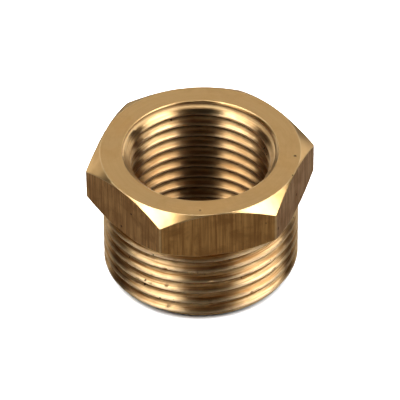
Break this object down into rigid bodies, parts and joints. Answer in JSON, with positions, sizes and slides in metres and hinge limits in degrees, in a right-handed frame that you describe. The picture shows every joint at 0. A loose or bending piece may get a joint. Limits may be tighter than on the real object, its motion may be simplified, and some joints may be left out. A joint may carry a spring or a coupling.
{
  "type": "hex bushing",
  "caption": "Reducing hex bushing: a hexagon head on a short externally threaded shank, with a smaller thread running right through it.",
  "frame": {"origin": "centre of the externally threaded end face, on the common axis of both threads", "axes": "+Z along the axis from the threaded end towards the hexagon, X through two opposite corners of the hexagon, Y square to two of its flats"},
  "size_m": [0.0312, 0.027, 0.019],
  "materials": {
    "brass": "machined"
  },
  "bodies": {
    "root": {"hex_bushing": "brass"}
  },
  "joints": []
}
